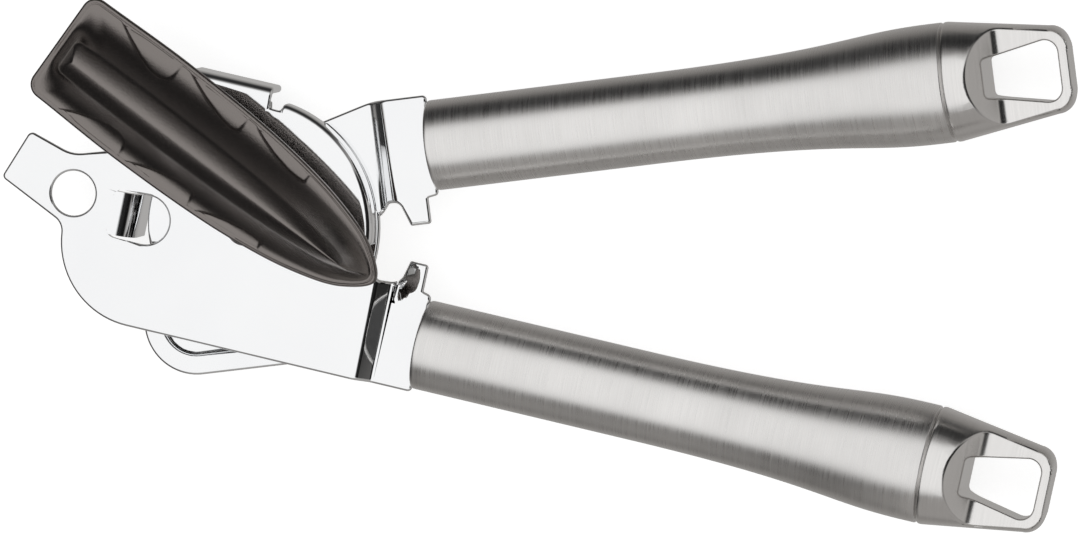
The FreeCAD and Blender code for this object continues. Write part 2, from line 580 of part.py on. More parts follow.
def knob_outline(back, tip, half, corner, z):
    """The crank's outline: a flat end, sides that swell a little and a long rounded tip."""
    length = back + tip
    shares = [(0.30, 1.0), (0.62, 0.905), (0.82, 0.69), (0.94, 0.40)]
    start = Vector(corner - back, 0.965 * half, z)
    upper = [Vector(share * length - back, width * half, z) for share, width in shares]
    lower = [Vector(p.x, -p.y, z) for p in reversed(upper)]
    finish = Vector(start.x, -start.y, z)
    curve = Part.BSplineCurve()
    curve.interpolate([start] + upper + [Vector(tip, 0, z)] + lower + [finish],
                      InitialTangent=Vector(1, 0.02, 0), FinalTangent=Vector(-1, 0.02, 0))
    turn = corner * math.sqrt(0.5)
    low_middle = Vector(start.x - turn, -start.y + corner - turn, z)
    high_middle = Vector(start.x - turn, start.y - corner + turn, z)
    low_end = Vector(-back, -start.y + corner, z)
    high_end = Vector(-back, start.y - corner, z)
    return Part.Wire([curve.toShape(), Part.Arc(finish, low_middle, low_end).toShape(),
                      Part.makeLine(low_end, high_end), Part.Arc(high_end, high_middle, start).toShape()])


def turn_crank(shape):
    shape.rotate(Vector(0, 0, 0), Vector(0, 0, 1), CRANK_ANGLE)
    shape.translate(at(SHAFT_AT))
    return shape


def crank_knob():
    rim_top = KNOB_UNDER + CRANK_RIM
    crest = KNOB_UNDER + CRANK_HEIGHT
    rim = prism(knob_outline(CRANK_BACK, CRANK_TIP, CRANK_HALF_WIDTH, CRANK_CORNER, 0), KNOB_UNDER, rim_top)
    foot = knob_outline(CRANK_BACK - CRANK_LEDGE, CRANK_TIP - CRANK_LEDGE,
                        CRANK_HALF_WIDTH - CRANK_LEDGE, CRANK_CORNER - CRANK_LEDGE, rim_top)
    top = knob_outline(CRANK_BACK - CREST_SETBACK, CRANK_TIP - CREST_SETBACK,
                       CREST_HALF_WIDTH, 1.0, crest)
    body = Part.makeLoft([foot, top], True, True)
    solid = rim.fuse(body).removeSplitter()
    solid = solid.cut(disc((0, 0), INSERT_RADIUS, KNOB_UNDER - 1, INSERT_TOP))
    return turn_crank(solid)


def knob_insert():
    solid = disc((0, 0), INSERT_RADIUS, KNOB_UNDER, INSERT_TOP)
    solid = solid.cut(disc((0, 0), SHAFT_RADIUS, KNOB_UNDER - 1, SHAFT_TOP))
    return turn_crank(solid.cut(cross_pin()))


def cross_pin():
    return Part.makeCylinder(PIN_RADIUS, 2 * INSERT_RADIUS, Vector(0, -INSERT_RADIUS, PIN_HEIGHT),
                             Vector(0, 1, 0))


def knob_pin():
    inside = disc((0, 0), INSERT_RADIUS, KNOB_UNDER, INSERT_TOP)
    return turn_crank(cross_pin().common(inside))


def drive_shaft():
    solid = disc((0, 0), SHAFT_RADIUS, TABLE + 0.4, SHAFT_TOP)
    point = turned((0, 0), [(0, TABLE), (SHAFT_RADIUS - 0.4, TABLE), (SHAFT_RADIUS, TABLE + 0.4), (0, TABLE + 0.4)])
    return turn_crank(solid.fuse(point).removeSplitter().cut(cross_pin()))


def shaft_bushing():
    top = KNOB_UNDER - WASHER_THICKNESS - SPRING_WASHER_THICKNESS - END_PLAY
    solid = disc(SHAFT_AT, BUSH_COLLAR_RADIUS, FRONT_TOP, top).fuse(disc(SHAFT_AT, BUSH_RADIUS, FRONT_UNDER, FRONT_TOP))
    return solid.removeSplitter().cut(disc(SHAFT_AT, SHAFT_RADIUS + RUN_FIT, 0, KNOB_UNDER))


def drive_washer(radius, thickness, above):
    """A washer on the shaft whose top face lies a given depth under the crank."""
    top = KNOB_UNDER - above
    return ring(SHAFT_AT, radius, SHAFT_RADIUS, top - thickness, top)


def shaft_spacer():
    return ring(SHAFT_AT, SPACER_RADIUS, SHAFT_RADIUS, GEAR_TOP, FRONT_UNDER - END_PLAY)


def gear_blank(start_angle):
    """An involute spur gear about the origin, with a tooth centred on start_angle degrees."""
    pitch = GEAR_CLOSED_DISTANCE / 2
    pressure = math.radians(PRESSURE_ANGLE)
    base = pitch * math.cos(pressure)
    outer = pitch + GEAR_ADDENDUM
    root = pitch - GEAR_DEDENDUM
    involute = math.tan(pressure) - pressure
    half_tooth = math.pi / (2 * GEAR_TEETH) - TOOTH_SLACK / (2 * pitch)

    def flank(radius):
        if radius <= base:
            return half_tooth + involute
        angle = math.acos(base / radius)
        return half_tooth + involute - (math.tan(angle) - angle)

    def point(radius, angle):
        return Vector(radius * math.cos(angle), radius * math.sin(angle), 0)

    steps = [base, (2 * base + outer) / 3, (base + 2 * outer) / 3, outer]
    step = 2 * math.pi / GEAR_TEETH
    edges = []
    for k in range(GEAR_TEETH):
        middle = math.radians(start_angle) + k * step
        rising = Part.BSplineCurve()
        rising.interpolate([point(r, middle - flank(r)) for r in steps])
        falling = Part.BSplineCurve()
        falling.interpolate([point(r, middle + flank(r)) for r in reversed(steps)])
        foot = flank(base)
        edges.append(Part.makeLine(point(root, middle - foot), point(base, middle - foot)))
        edges.append(rising.toShape())
        edges.append(Part.Arc(point(outer, middle - flank(outer)), point(outer, middle),
                              point(outer, middle + flank(outer))).toShape())
        edges.append(falling.toShape())
        edges.append(Part.makeLine(point(base, middle + foot), point(root, middle + foot)))
        following = middle + step
        edges.append(Part.Arc(point(root, middle + foot), point(root, middle + step / 2),
                              point(root, following - foot)).toShape())
    return prism(Part.Wire(edges), GEAR_UNDER, GEAR_TOP)


def mesh_angle():
    """Direction from the drive shaft to the cutter's arbor at rest, in degrees."""
    return math.degrees(math.atan2(CUTTER_AT[1] - SHAFT_AT[1], CUTTER_AT[0] - SHAFT_AT[0]))


def drive_gear():
    solid = gear_blank(mesh_angle()).cut(disc((0, 0), SHAFT_RADIUS, GEAR_UNDER - 1, GEAR_TOP + 1))
    solid.translate(at(SHAFT_AT))
    return solid


def cutter_gear():
    half_step = 180.0 / GEAR_TEETH
    solid = gear_blank(mesh_angle() + 180 + half_step)
    solid = solid.cut(disc((0, 0), ARBOR_RADIUS, GEAR_UNDER - 1, GEAR_TOP + 1))
    solid.translate(at(CUTTER_AT))
    return solid


def feed_wheel():
    """The serrated wheel that drives the can's rim, with a hub up to the gear."""
    points = []
    for k in range(FEED_TEETH):
        for share, radius in ((0.0, FEED_RADIUS - FEED_TOOTH_DEPTH), (0.35, FEED_RADIUS), (0.6, FEED_RADIUS)):
            a = 2 * math.pi * (k + share) / FEED_TEETH
            points.append(Vector(radius * math.cos(a), radius * math.sin(a), FEED_UNDER))
    wheel = Part.Face(Part.makePolygon(points + points[:1])).extrude(Vector(0, 0, FEED_THICKNESS))
    wheel = wheel.fuse(disc((0, 0), FEED_HUB_RADIUS, FEED_TOP, GEAR_UNDER)).removeSplitter()
    wheel = wheel.cut(disc((0, 0), SHAFT_RADIUS, FEED_UNDER - 1, GEAR_UNDER + 1))
    wheel.translate(at(SHAFT_AT))
    return wheel


def shaft_nut():
    nut = hexagon(SHAFT_AT, NUT_FLATS, TABLE + 0.4, FEED_UNDER)
    return nut.cut(disc(SHAFT_AT, SHAFT_RADIUS, TABLE, FEED_UNDER + 1))


def pivot_spacer():
    return ring((0, 0), PIVOT_SPACER_RADIUS, PIVOT_RADIUS + RUN_FIT, PAN_TOP + END_PLAY, FRONT_UNDER)


def cutter_bushing():
    low = GEAR_TOP + END_PLAY
    solid = disc(CUTTER_AT, CUTTER_BUSH_RADIUS, low, PAN_TOP).fuse(
        disc(CUTTER_AT, BUSH_FLANGE_RADIUS, PAN_TOP, BUSH_FLANGE_TOP)).removeSplitter()
    return solid.cut(disc(CUTTER_AT, ARBOR_RADIUS + RUN_FIT, low - 1, BUSH_FLANGE_TOP + 1))


def cutter_arbor():
    low = CUTTER_UNDER - CUTTER_NUT_HEIGHT - 0.3
    head_low = BUSH_FLANGE_TOP + END_PLAY
    head = turned(CUTTER_AT, [(0, head_low), (ARBOR_HEAD_RADIUS, head_low),
                              (ARBOR_HEAD_RADIUS, ARBOR_HEAD_TOP - 0.4),
                              (ARBOR_HEAD_RADIUS - 0.6, ARBOR_HEAD_TOP), (0, ARBOR_HEAD_TOP)])
    return disc(CUTTER_AT, ARBOR_RADIUS, low, head_low).fuse(head).removeSplitter()


def cutting_wheel():
    """The bevelled wheel that cuts the lid."""
    edge = CUTTER_UNDER + 0.15
    top = GEAR_UNDER - WHEEL_RELIEF
    hub = ARBOR_RADIUS + WHEEL_HUB
    profile = [(ARBOR_RADIUS, CUTTER_UNDER), (CUTTER_RADIUS, CUTTER_UNDER), (CUTTER_RADIUS, edge),
               (CUTTER_RADIUS - 3.2, top), (hub, top), (hub, GEAR_UNDER), (ARBOR_RADIUS, GEAR_UNDER)]
    return turned(CUTTER_AT, profile)


def cutter_nut():
    low = CUTTER_UNDER - CUTTER_NUT_HEIGHT
    return hexagon(CUTTER_AT, NUT_FLATS, low, CUTTER_UNDER).cut(disc(CUTTER_AT, ARBOR_RADIUS, low - 1, 0))


def build():
    nodes = {
        "front_plate": front_plate(),
        "front_handle_tube": handle_tube(FRONT_AXIS_Y),
        "front_handle_nose": handle_nose(FRONT_AXIS_Y),
        "front_end_cap": end_cap(FRONT_AXIS_Y),
        "shaft_bushing": shaft_bushing(),
        "pivot_rivet": pivot_rivet(),
        "pivot_spacer": pivot_spacer(),
        "back_plate": back_plate(),
        "back_handle_tube": turn_back(handle_tube(BACK_AXIS_Y)),
        "back_handle_nose": turn_back(handle_nose(BACK_AXIS_Y)),
        "back_end_cap": turn_back(end_cap(BACK_AXIS_Y)),
        "cutter_bushing": cutter_bushing(),
        "crank_knob": crank_knob(),
        "knob_insert": knob_insert(),
        "knob_pin": knob_pin(),
        "drive_shaft": drive_shaft(),
        "thrust_washer": drive_washer(WASHER_RADIUS, WASHER_THICKNESS, 0),
        "spring_washer": drive_washer(WASHER_RADIUS - 1.0, SPRING_WASHER_THICKNESS, WASHER_THICKNESS),
        "shaft_spacer": shaft_spacer(),
        "drive_gear": drive_gear(),
        "feed_wheel": feed_wheel(),
        "shaft_nut": shaft_nut(),
        "cutter_arbor": cutter_arbor(),
        "cutter_gear": cutter_gear(),
        "cutting_wheel": cutting_wheel(),
        "cutter_nut": cutter_nut(),
    }
    box = FreeCAD.BoundBox()
    for shape in nodes.values():
        box.add(shape.optimalBoundingBox(False))
    shift = Vector(-box.Center.x, -box.Center.y, -box.ZMin)
    for name, shape in nodes.items():
        shape.translate(shift)
    return nodes, shift


os.makedirs("parts", exist_ok=True)
NODES, SHIFT = build()
for NAME, SHAPE in NODES.items():
    SHAPE.exportStep(f"parts/{NAME}.step")
    print(f"{NAME:20s} solids {len(SHAPE.Solids)}  volume {SHAPE.Volume:9.1f}  valid {SHAPE.isValid()}")
print(f"pivot at {SHIFT.x:.4f} {SHIFT.y:.4f}  handle axes at z {SHIFT.z:.4f}")
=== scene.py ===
"""Looks for the manual can opener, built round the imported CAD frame. Metres, +Z up."""
import json
import math

import bmesh
import bpy
from mathutils import Matrix, Vector


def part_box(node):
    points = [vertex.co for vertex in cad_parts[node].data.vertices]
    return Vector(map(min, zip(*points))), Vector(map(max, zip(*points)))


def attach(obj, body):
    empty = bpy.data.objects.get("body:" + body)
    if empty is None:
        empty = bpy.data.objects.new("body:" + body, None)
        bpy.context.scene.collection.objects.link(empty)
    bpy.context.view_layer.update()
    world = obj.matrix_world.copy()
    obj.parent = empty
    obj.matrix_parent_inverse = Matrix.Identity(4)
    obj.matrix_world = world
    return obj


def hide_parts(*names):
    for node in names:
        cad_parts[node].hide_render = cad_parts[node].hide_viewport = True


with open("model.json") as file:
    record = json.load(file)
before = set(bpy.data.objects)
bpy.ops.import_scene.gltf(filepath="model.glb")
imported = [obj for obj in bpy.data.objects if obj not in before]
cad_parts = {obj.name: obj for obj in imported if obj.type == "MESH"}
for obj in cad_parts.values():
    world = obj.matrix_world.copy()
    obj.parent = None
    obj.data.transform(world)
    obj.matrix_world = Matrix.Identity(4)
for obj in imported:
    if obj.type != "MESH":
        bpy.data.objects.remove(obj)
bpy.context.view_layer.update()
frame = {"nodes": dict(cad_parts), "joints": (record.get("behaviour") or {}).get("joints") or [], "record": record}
MM = 0.001

JOINTS = {j["name"]: j for j in frame["joints"]}
PIVOT = Vector(JOINTS["lever_pivot"]["pos_m"])
SHAFT = Vector(JOINTS["crank_spin"]["pos_m"])
REST_SPREAD = math.radians(19.7)        # back lever from the front lever
CRANK_ANGLE = math.radians(-24.0)       # crank from the front lever
FRONT_AXIS_Y = -15.2                    # handle axes from the pivot, mm
BACK_AXIS_Y = 11.4
TUBE_START = 39.6
TUBE_LENGTH = 104.9

# Places of the pieces' own axes, each with X along the piece
FRONT_PLACE = Matrix.Translation(PIVOT)
BACK_PLACE = Matrix.Translation(PIVOT) @ Matrix.Rotation(REST_SPREAD, 4, "Z")
FRONT_TUBE_PLACE = FRONT_PLACE @ Matrix.Translation(Vector((TUBE_START, FRONT_AXIS_Y, 0)) * MM)
BACK_TUBE_PLACE = BACK_PLACE @ Matrix.Translation(Vector((TUBE_START, BACK_AXIS_Y, 0)) * MM)
TO_CAP = Matrix.Translation(Vector((TUBE_LENGTH, 0, 0)) * MM)
KNOB_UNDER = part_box("crank_knob")[0][2]
CRANK_PLACE = (Matrix.Translation(Vector((SHAFT.x, SHAFT.y, KNOB_UNDER)))
               @ Matrix.Rotation(CRANK_ANGLE, 4, "Z"))


# ---- shader helpers -------------------------------------------------------------------------
class Shader:
    """A node tree with short ways to add and link nodes."""

    def __init__(self, tree):
        self.tree = tree

    def add(self, kind, **values):
        node = self.tree.nodes.new(kind)
        for name, value in values.items():
            setattr(node, name, value)
        return node

    def link(self, source, target):
        self.tree.links.new(source, target)

    def place(self):
        return self.add("ShaderNodeTexCoord").outputs["Object"]

    def noise(self, vector, scale, detail=4.0, roughness=0.6):
        node = self.add("ShaderNodeTexNoise")
        node.inputs["Scale"].default_value = scale
        node.inputs["Detail"].default_value = detail
        node.inputs["Roughness"].default_value = roughness
        self.link(vector, node.inputs["Vector"])
        return node.outputs["Fac"]

    def stretched(self, vector, scale):
        node = self.add("ShaderNodeMapping")
        node.inputs["Scale"].default_value = scale
        self.link(vector, node.inputs["Vector"])
        return node.outputs["Vector"]

    def spread(self, value, low, high, start=0.3, end=0.7):
        node = self.add("ShaderNodeMapRange")
        node.inputs["From Min"].default_value = start
        node.inputs["From Max"].default_value = end
        node.inputs["To Min"].default_value = low
        node.inputs["To Max"].default_value = high
        self.link(value, node.inputs["Value"])
        return node.outputs["Result"]

    def ramp(self, value, stops):
        node = self.add("ShaderNodeValToRGB")
        elements = node.color_ramp.elements
        while len(elements) < len(stops):
            elements.new(0.5)
        for element, (place, colour) in zip(elements, stops):
            element.position = place
            element.color = (*colour, 1.0)
        self.link(value, node.inputs["Fac"])
        return node.outputs["Color"]

    def math(self, operation, first, second):
        node = self.add("ShaderNodeMath", operation=operation)
        for socket, value in zip(node.inputs, (first, second)):
            if isinstance(value, (int, float)):
                socket.default_value = value
            else:
                self.link(value, socket)
        return node.outputs["Value"]

    def bump(self, height, strength, distance):
        node = self.add("ShaderNodeBump")
        node.inputs["Strength"].default_value = strength
        node.inputs["Distance"].default_value = distance
        self.link(height, node.inputs["Height"])
        return node.outputs["Normal"]

    def towards(self, direction, axis):
        """The cosine between a direction and an axis."""
        node = self.add("ShaderNodeVectorMath", operation="DOT_PRODUCT")
        node.inputs[1].default_value = axis
        self.link(direction, node.inputs[0])
        return node.outputs["Value"]

    def blend(self, kind, first, second):
        """Two colours joined by a blend mode."""
        node = self.add("ShaderNodeMix", data_type="RGBA", blend_type=kind)
        node.inputs["Factor"].default_value = 1.0
        colours = [socket for socket in node.inputs if socket.type == "RGBA"]
        self.link(first, colours[0])
        self.link(second, colours[1])
        return [socket for socket in node.outputs if socket.type == "RGBA"][0]


def new_material(name):
    material = bpy.data.materials.new(name)
    material.use_nodes = True
    shader = Shader(material.node_tree)
    principled = material.node_tree.nodes["Principled BSDF"]
    return material, shader, principled


def metal(name, colour, rough, grain, streak=(1, 1, 1), bump=0.05, vary=0.06, lift=0.00002):
    """Bare metal: a slightly mottled tone with a directional grain in gloss, tone and relief."""
    material, shader, principled = new_material(name)
    place = shader.place()
    fine = shader.noise(shader.stretched(place, streak), grain)
    broad = shader.noise(place, 60.0, 3.0)
    both = shader.math("ADD", shader.math("MULTIPLY", fine, 0.6), shader.math("MULTIPLY", broad, 0.4))
    tone = shader.ramp(both, [(0.35, [c * (1 - vary) for c in colour]), (0.65, colour)])
    shader.link(tone, principled.inputs["Base Color"])
    principled.inputs["Metallic"].default_value = 1.0
    shader.link(shader.spread(fine, rough * 0.8, rough * 1.2), principled.inputs["Roughness"])
    shader.link(shader.bump(fine, bump, lift), principled.inputs["Normal"])
    return material


def black_plastic():
    """Moulded black plastic with a fine spark-eroded grain and brownish sheen."""
    material, shader, principled = new_material("knob_plastic")
    place = shader.place()
    speckle = shader.noise(place, 2200.0, 6.0, 0.75)
    cloud = shader.noise(place, 130.0, 3.0)
    tone = shader.ramp(cloud, [(0.3, (0.004, 0.0035, 0.0035)), (0.7, (0.008, 0.007, 0.0065))])
    shader.link(tone, principled.inputs["Base Color"])
    shader.link(shader.spread(speckle, 0.16, 0.26), principled.inputs["Roughness"])
    shader.link(shader.bump(speckle, 0.5, 0.00009), principled.inputs["Normal"])
    principled.inputs["IOR"].default_value = 2.75
    principled.inputs["Specular Tint"].default_value = (1.0, 0.91, 0.86, 1.0)
    return material


def plate_steel():
    """Mirror-polished plate with a trace of fine scratches."""
    material, shader, principled = new_material("plate_steel")
    place = shader.place()
    scratch = shader.noise(shader.stretched(place, (0.5, 9.0, 9.0)), 700.0, 5.0)
    cloud = shader.noise(place, 45.0, 2.0)
    tone = shader.ramp(cloud, [(0.3, (0.925, 0.93, 0.94)), (0.7, (0.945, 0.95, 0.955))])
    shader.link(tone, principled.inputs["Base Color"])
    principled.inputs["Metallic"].default_value = 1.0
    shader.link(shader.spread(scratch, 0.045, 0.09), principled.inputs["Roughness"])
    shader.link(shader.bump(scratch, 0.03, 0.00001), principled.inputs["Normal"])
    return material


WARM_STEEL = (0.83, 0.815, 0.80)
MATERIALS = {
    "plate_steel": plate_steel(),
    "tube_steel": metal("tube_steel", WARM_STEEL, 0.30, 1500.0, (2.2, 0.05, 0.05), 0.22, 0.16),
    "cap_steel": metal("cap_steel", WARM_STEEL, 0.22, 1500.0, (1.8, 0.06, 0.06), 0.14, 0.10),
    # painted shade: the nose's dark grey base colour stands in for the shade where it sits in the tube's mouth
    "nose_steel": metal("nose_steel", (0.20, 0.20, 0.20), 0.5, 900.0),
    "bushing_steel": metal("bushing_steel", (0.68, 0.67, 0.65), 0.30, 1200.0, (1, 1, 6)),
    "rivet_steel": metal("rivet_steel", (0.75, 0.75, 0.74), 0.20, 700.0),
    "washer_steel": metal("washer_steel", (0.72, 0.72, 0.71), 0.28, 900.0),
    "shaft_steel": metal("shaft_steel", (0.66, 0.66, 0.65), 0.26, 1200.0, (1, 1, 5)),
    "gear_steel": metal("gear_steel", (0.50, 0.50, 0.49), 0.42, 1800.0, (1, 1, 1), 0.35, 0.18),
    "feed_steel": metal("feed_steel", (0.56, 0.56, 0.55), 0.36, 1500.0, (1, 1, 1), 0.25, 0.12),
    "cutter_steel": metal("cutter_steel", (0.76, 0.76, 0.76), 0.18, 1500.0, (1, 1, 1), 0.10),
    "nut_steel": metal("nut_steel", (0.70, 0.70, 0.69), 0.24, 900.0),
    "knob_plastic": black_plastic(),
}
SLOT_OF = {s["node"]: s["material_slot"] for s in frame["record"]["subparts"]}
BODY_OF = {node: body for body, nodes in frame["record"]["behaviour"]["bodies"].items()
           for node in nodes}


# ---- pieces -----------------------------------------------------------------------------------
def put(name, node, mesh, place):
    """Makes a piece from a mesh drawn in its own axes, in place of a CAD node."""
    piece = bpy.data.objects.new(name, mesh)
    bpy.context.scene.collection.objects.link(piece)
    piece.matrix_world = place
    mesh.materials.clear()
    mesh.materials.append(MATERIALS[SLOT_OF[node]])
    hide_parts(node)
    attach(piece, BODY_OF[node])
    return piece


def smooth(mesh, sharp_degrees):
    for polygon in mesh.polygons:
        polygon.use_smooth = True
    mesh.set_sharp_from_angle(angle=math.radians(sharp_degrees))


EASED_STEPS = 3
SHARP_CORNER = math.radians(34)         # edges sharper than this are rolled over
PLANE_SLACK = math.radians(0.4)
PLATE_ROUND = 0.66
CAP_ROUND = 0.45
WINDOW_BEND = ((-28.5, -9.8), (-22.0, 2.6))     # where the window's guide bends, left as it is


def eased(node, place, width, crisp=None):
    """A copy of a CAD node whose sharp edges are rolled over, as stamping and polishing leave them.

    Edges inside the box `crisp`, in the piece's own axes, stay as they are."""
    mesh = frame["nodes"][node].data.copy()
    mesh.name = "eased_" + node
    mesh.transform(place.inverted())
    net = bmesh.new()
    net.from_mesh(mesh)
    bmesh.ops.remove_doubles(net, verts=net.verts, dist=0.001 * MM)
    bmesh.ops.dissolve_limit(net, angle_limit=PLANE_SLACK, verts=net.verts, edges=net.edges)
    edges = [e for e in net.edges
             if len(e.link_faces) == 2 and e.calc_face_angle(0) > SHARP_CORNER]
    if crisp:
        edges = [e for e in edges if not all(inside(crisp, v.co / MM) for v in e.verts)]
    bmesh.ops.bevel(net, geom=edges, offset=width * MM, offset_type="OFFSET", segments=EASED_STEPS,
                    profile=0.5, affect="EDGES", clamp_overlap=False)
    bmesh.ops.triangulate(net, faces=[f for f in net.faces if len(f.verts) > 4])
    net.to_mesh(mesh)
    net.free()
    smooth(mesh, 30)
    piece = put("piece_" + node, node, mesh, place)
    weigh = piece.modifiers.new("flat_faces_rule", "WEIGHTED_NORMAL")   # flat faces stay flat
    weigh.weight = 100
    weigh.keep_sharp = True
    return piece


def inside(box, point):
    low, high = box
    return low[0] < point.x < high[0] and low[1] < point.y < high[1]


def bezier(poles, steps):
    """Points along a cubic curve."""
    a, b, c, d = [Vector(p) for p in poles]
    points = []
    for i in range(steps + 1):
        t = i / steps
        s = 1 - t
        points.append(a * s ** 3 + b * 3 * s * s * t + c * 3 * s * t * t + d * t ** 3)
    return points


TUBE_RADIUS = 9.0
TUBE_WALL = 0.8
TUBE_SIDES = 120
FLARE_START = 45.0
FLARE_SETBACK = 3.3                     # the flare is full this far before the tube's end
FLARE_REACH_SMALL = 10.5                # how far its curve runs straight at each end
FLARE_REACH_LARGE = 12.5
CAP_RADIUS = 11.85
SEAM_GROOVE = 0.50                      # the tube's end is broken where it meets the cap


def skin(net, rows):
    """Quads between equal closed rings of vertices."""
    count = len(rows[0])
    for before, after in zip(rows, rows[1:]):
        for i in range(count):
            j = (i + 1) % count
            net.faces.new((before[i], before[j], after[j], after[i]))


def tube_outline():
    """(x, radius) from the mouth's inside, over the outer skin, and back along the inside."""
    flare_end = TUBE_LENGTH - FLARE_SETBACK
    knee = (FLARE_START + flare_end) / 2
    inner = TUBE_RADIUS - TUBE_WALL
    lip = [(0.30, inner), (0.06, inner + 0.22), (0.0, inner + 0.42), (0.10, TUBE_RADIUS - 0.18),
           (0.34, TUBE_RADIUS - 0.04), (0.75, TUBE_RADIUS)]
    straight = [(FLARE_START * k / 12, TUBE_RADIUS) for k in range(1, 12)]
    poles = [(FLARE_START, TUBE_RADIUS, 0), (knee + FLARE_REACH_SMALL, TUBE_RADIUS, 0),
             (knee + FLARE_REACH_LARGE, CAP_RADIUS, 0), (flare_end, CAP_RADIUS, 0)]
    flare = [(p.x, p.y) for p in bezier(poles, 56)]
    seam = TUBE_LENGTH - SEAM_GROOVE
    end = [(seam - 0.12, CAP_RADIUS), (seam, CAP_RADIUS - 0.04), (seam + 0.10, CAP_RADIUS - 0.14),
           (TUBE_LENGTH - 0.08, CAP_RADIUS - 0.62), (TUBE_LENGTH, CAP_RADIUS - 0.66),
           (TUBE_LENGTH, CAP_RADIUS - TUBE_WALL)]
    back = [(x, r - TUBE_WALL) for x, r in reversed(flare)]
    return lip + straight + flare + end + back + [(0.9, inner)]


def handle_tube(node, place):
    turns = [2 * math.pi * k / TUBE_SIDES for k in range(TUBE_SIDES)]
    net = bmesh.new()
    rows = []
    for x, radius in tube_outline():
        ring = [Vector((x, radius * math.cos(a), radius * math.sin(a))) * MM for a in turns]
        rows.append([net.verts.new(p) for p in ring])
    rows.append(rows[0])
    skin(net, rows)
    bmesh.ops.recalc_face_normals(net, faces=net.faces)
    mesh = bpy.data.meshes.new(node)
    net.to_mesh(mesh)
    net.free()
    smooth(mesh, 40)
    return put("piece_" + node, node, mesh, place)


# ---- the crank's knob ----------------------------------------------------------------------------
KNOB_BACK = 40.3
KNOB_TIP = 39.7
KNOB_HALF = 12.25
KNOB_CORNER = 3.0
KNOB_HEIGHT = 10.6
KNOB_RIM = 1.4
KNOB_LEDGE = 1.15
RIM_ROUND = 0.7
CREST_HALF = 3.9
CREST_SETBACK = 4.3
INSERT_RADIUS = 4.6
INSERT_DEPTH = 6.0
# Grip hollows on one side: each is the crisp upper edge of a scoop, as (x, distance off centre)
GRIPS = [[(-32.4, 11.1), (-28.5, 9.4), (-24.6, 7.9), (-21.4, 7.1), (-19.2, 7.0), (-17.6, 7.5),
          (-16.7, 8.6)],
         [(-16.0, 11.7), (-12.6, 10.3), (-9.2, 9.1), (-4.2, 7.8), (-1.6, 7.45), (0.4, 7.9)],
         [(2.0, 10.6), (5.2, 9.4), (8.6, 8.4), (12.6, 7.6), (15.0, 7.45), (17.0, 7.6)]]
GRIP_DEPTH = 0.5


def half_outline(back, tip, half, corner, steps):
    """One side of the crank's outline, from the middle of its flat end to its tip."""
    length = back + tip
    shares = [(0.30, 1.0), (0.62, 0.905), (0.82, 0.69), (0.94, 0.40)]
    knots = [Vector((corner - back, 0.965 * half, 0))]
    knots += [Vector((share * length - back, width * half, 0)) for share, width in shares]
    knots += [Vector((tip, 0, 0))]
    mirror = [Vector((p.x, -p.y, 0)) for p in reversed(knots[:-1])]
    before = knots[0] - (knots[1] - knots[0])
    chain = [Vector((before.x, knots[0].y - 0.01 * half, 0))] + knots + mirror[:1]
    side = []
    for i in range(1, len(chain) - 2):
        p0, p1, p2, p3 = chain[i - 1:i + 3]
        t1 = math.sqrt((p1 - p0).length)
        t2 = t1 + math.sqrt((p2 - p1).length)
        t3 = t2 + math.sqrt((p3 - p2).length)
        for k in range(40):
            t = t1 + (t2 - t1) * k / 40
            a1 = p0 * ((t1 - t) / t1) + p1 * (t / t1)
            a2 = p1 * ((t2 - t) / (t2 - t1)) + p2 * ((t - t1) / (t2 - t1))
            a3 = p2 * ((t3 - t) / (t3 - t2)) + p3 * ((t - t2) / (t3 - t2))
            b1 = a1 * ((t2 - t) / t2) + a2 * (t / t2)
            b2 = a2 * ((t3 - t) / (t3 - t1)) + a3 * ((t - t1) / (t3 - t1))
            side.append(b1 * ((t2 - t) / (t2 - t1)) + b2 * ((t - t1) / (t2 - t1)))
    side.append(knots[-1])
    start = knots[0]
    flat = [Vector((-back, (start.y - corner) * k / 12, 0)) for k in range(12)]
    bend = []
    for k in range(17):
        a = math.pi - math.pi / 2 * k / 16
        bend.append(start + Vector((math.cos(a), math.sin(a) - 1, 0)) * corner)
    chain = flat + bend + side[1:]
    return resampled(chain, steps)


def resampled(chain, steps):
    """Points at equal distances along a line of points."""
    runs = [0.0]
    for a, b in zip(chain, chain[1:]):
        runs.append(runs[-1] + (b - a).length)
    points = []
    spot = 0
    for k in range(steps + 1):
        want = runs[-1] * k / steps
        while spot < len(runs) - 2 and runs[spot + 1] < want:
            spot += 1
        share = (want - runs[spot]) / max(runs[spot + 1] - runs[spot], 1e-9)
        points.append(chain[spot].lerp(chain[spot + 1], min(max(share, 0), 1)))
    return points


def whole_outline(back, tip, half, corner, steps):
    side = half_outline(back, tip, half, corner, steps)
    other = [Vector((p.x, -p.y, 0)) for p in reversed(side[1:-1])]
    return side + other


def grip_depth(x, off):
    """How far the surface is sunk at a place, off the crank's centre line."""
    deepest = 0.0
    for line in GRIPS:
        first, last = line[0][0], max(p[0] for p in line)
        if not first - 1 < x < last + 1:
            continue
        crisp = line[-1][0]
        edge_off = None
        for (ax, ay), (bx, by) in zip(line, line[1:]):
            if ax <= x <= bx:
                edge_off = ay + (by - ay) * (x - ax) / (bx - ax)
                break
        if edge_off is None:
            continue
        below = off - edge_off
        edge = 1 / (1 + math.exp(-below / 0.09))
        share = (x - first) / (crisp - first)
        fall = math.exp(-(max(below, 0.0) / (0.8 + 2.6 * share)) ** 2)
        ends = min(1.0, share / 0.10) * min(1.0, max(0.0, last - x) / 0.7)
        deepest = max(deepest, GRIP_DEPTH * edge * fall * ends)
    return deepest


def knob_height(share):
    """Height over the rim between the foot, 1, and the crest's edge, 0."""
    return (1 - share) ** 1.85


